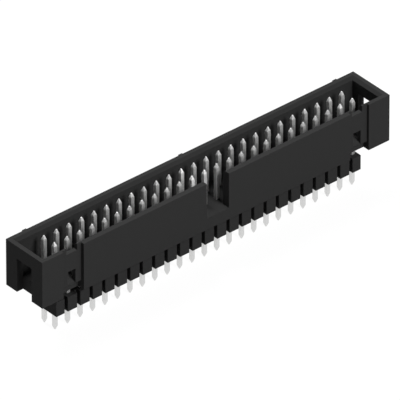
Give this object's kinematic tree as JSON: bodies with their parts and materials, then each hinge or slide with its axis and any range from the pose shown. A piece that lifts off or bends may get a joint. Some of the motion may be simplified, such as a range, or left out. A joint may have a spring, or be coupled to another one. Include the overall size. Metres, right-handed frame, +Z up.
{
  "type": "pin header",
  "caption": "Dual-row shrouded pin header with a key slot, raised on a comb-edged spacer strip, with straight solder tails.",
  "frame": {"origin": "centre of the spacer strip's underside, which seats on the board", "axes": "+X along the rows of contacts, +Y away from the key slot, +Z up out of the board"},
  "size_m": [0.0712, 0.0092, 0.0163],
  "materials": {
    "shroud_plastic": "moulded glass-filled plastic, satin, near black",
    "strip_plastic": "moulded glass-filled plastic, satin, near black",
    "contact_tin": "bright tin plating on brass wire"
  },
  "bodies": {
    "root": {"shroud": "shroud_plastic", "spacer_strip": "strip_plastic", "front_contact_01": "contact_tin", "front_contact_02": "contact_tin", "front_contact_03": "contact_tin", "front_contact_04": "contact_tin", "front_contact_05": "contact_tin", "front_contact_06": "contact_tin", "front_contact_07": "contact_tin", "front_contact_08": "contact_tin", "front_contact_09": "contact_tin", "front_contact_10": "contact_tin", "front_contact_11": "contact_tin", "front_contact_12": "contact_tin", "front_contact_13": "contact_tin", "front_contact_14": "contact_tin", "front_contact_15": "contact_tin", "front_contact_16": "contact_tin", "front_contact_17": "contact_tin", "front_contact_18": "contact_tin", "front_contact_19": "contact_tin", "front_contact_20": "contact_tin", "front_contact_21": "contact_tin", "front_contact_22": "contact_tin", "front_contact_23": "contact_tin", "front_contact_24": "contact_tin", "front_contact_25": "contact_tin", "back_contact_01": "contact_tin", "back_contact_02": "contact_tin", "back_contact_03": "contact_tin", "back_contact_04": "contact_tin", "back_contact_05": "contact_tin", "back_contact_06": "contact_tin", "back_contact_07": "contact_tin", "back_contact_08": "contact_tin", "back_contact_09": "contact_tin", "back_contact_10": "contact_tin", "back_contact_11": "contact_tin", "back_contact_12": "contact_tin", "back_contact_13": "contact_tin", "back_contact_14": "contact_tin", "back_contact_15": "contact_tin", "back_contact_16": "contact_tin", "back_contact_17": "contact_tin", "back_contact_18": "contact_tin", "back_contact_19": "contact_tin", "back_contact_20": "contact_tin", "back_contact_21": "contact_tin", "back_contact_22": "contact_tin", "back_contact_23": "contact_tin", "back_contact_24": "contact_tin", "back_contact_25": "contact_tin"}
  },
  "joints": []
}
